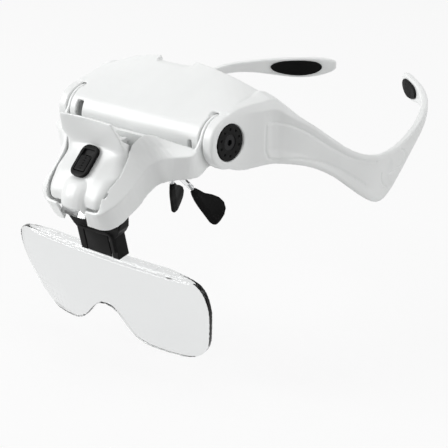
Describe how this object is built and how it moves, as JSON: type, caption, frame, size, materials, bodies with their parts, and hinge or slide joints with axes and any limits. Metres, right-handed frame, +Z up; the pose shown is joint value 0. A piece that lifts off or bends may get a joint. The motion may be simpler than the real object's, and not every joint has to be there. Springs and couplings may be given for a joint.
{
  "type": "lighted head-worn magnifier",
  "caption": "Head-worn magnifier: white brow shell with wrap-round temple arms, a flip-up front frame, a tilting lamp with a switch, and a clear lens plate hanging from a black clip.",
  "frame": {"origin": "middle of the flip hinge axis, halfway between the two hinge knobs", "axes": "+X to the wearer's left, -Y the way the wearer looks, +Z up"},
  "size_m": [0.129, 0.1931, 0.1071],
  "materials": {
    "white_plastic": "satin",
    "black_plastic": "satin",
    "soft_rubber": "matt",
    "clear_plastic": "polished",
    "steel": "plated",
    "circuit_board": "matt"
  },
  "bodies": {
    "headgear": {"brow_shell": "white_plastic", "brow_liner": "white_plastic", "liner_screws": "steel", "left_arm": "white_plastic", "right_arm": "white_plastic", "left_arm_screws": "steel", "right_arm_screws": "steel", "left_arm_pad": "soft_rubber", "right_arm_pad": "soft_rubber", "hinge_washers": "steel", "hinge_nuts": "steel", "nose_bracket": "clear_plastic", "nose_bracket_screw": "steel", "nose_pad_pins": "steel"},
    "left_knob_body": {"left_knob": "black_plastic", "left_hinge_screw": "steel"},
    "right_knob_body": {"right_knob": "black_plastic", "right_hinge_screw": "steel"},
    "left_nose_pad_body": {"left_nose_pad": "soft_rubber"},
    "right_nose_pad_body": {"right_nose_pad": "soft_rubber"},
    "front": {"front_frame": "white_plastic", "frame_back_plate": "white_plastic", "back_plate_screws": "steel", "lamp_pins": "steel", "clip_pin": "steel"},
    "lamp": {"lamp_housing": "white_plastic", "lamp_base": "white_plastic", "lamp_screws": "steel", "switch_bezel": "black_plastic", "switch_contact": "steel", "circuit_board": "circuit_board", "led_bulbs": "clear_plastic", "led_window": "clear_plastic", "button_cells": "steel", "cell_contacts": "steel"},
    "switch": {"switch_slider": "black_plastic"},
    "door": {"battery_door": "white_plastic"},
    "clip": {"lens_clip": "black_plastic", "clip_tongue": "black_plastic", "clip_friction_washers": "steel"},
    "lens": {"magnifier_lens": "clear_plastic"}
  },
  "joints": [
    {"name": "flip_hinge", "type": "hinge", "parent": "headgear", "child": "front", "pos_m": [0, 0, 0], "axis": [-1, 0, 0], "range_deg": [0, 75]},
    {"name": "lamp_tilt", "type": "hinge", "parent": "front", "child": "lamp", "pos_m": [0, -0.0364, -0.0208], "axis": [1, 0, 0], "range_deg": [0, 20]},
    {"name": "clip_tilt", "type": "hinge", "parent": "front", "child": "clip", "pos_m": [0, -0.0285, -0.0206], "axis": [1, 0, 0], "range_deg": [-8, 12]},
    {"name": "lens_slide", "type": "slide", "parent": "clip", "child": "lens", "axis": [0, 0.225, -0.9744], "range_m": [0, 0.008]},
    {"name": "switch_slide", "type": "slide", "parent": "lamp", "child": "switch", "axis": [0, 0.6826, 0.7308], "range_m": [0, 0.0025]},
    {"name": "battery_door_slide", "type": "slide", "parent": "lamp", "child": "door", "axis": [0, 0, 1], "range_m": [0, 0.008]},
    {"name": "left_nose_pad_swivel", "type": "hinge", "parent": "headgear", "child": "left_nose_pad_body", "pos_m": [0.0059, 0.0184, -0.031], "axis": [0.3412, 0.4479, -0.8264], "range_deg": [-8, 8]},
    {"name": "right_nose_pad_swivel", "type": "hinge", "parent": "headgear", "child": "right_nose_pad_body", "pos_m": [-0.0059, 0.0184, -0.031], "axis": [-0.3412, 0.4479, -0.8264], "range_deg": [-8, 8]},
    {"name": "left_knob_turn", "type": "hinge", "parent": "headgear", "child": "left_knob_body", "pos_m": [0.043, 0, 0], "axis": [1, 0, 0], "range_deg": [-45, 45]},
    {"name": "right_knob_turn", "type": "hinge", "parent": "headgear", "child": "right_knob_body", "pos_m": [-0.043, 0, 0], "axis": [-1, 0, 0], "range_deg": [-45, 45]}
  ]
}
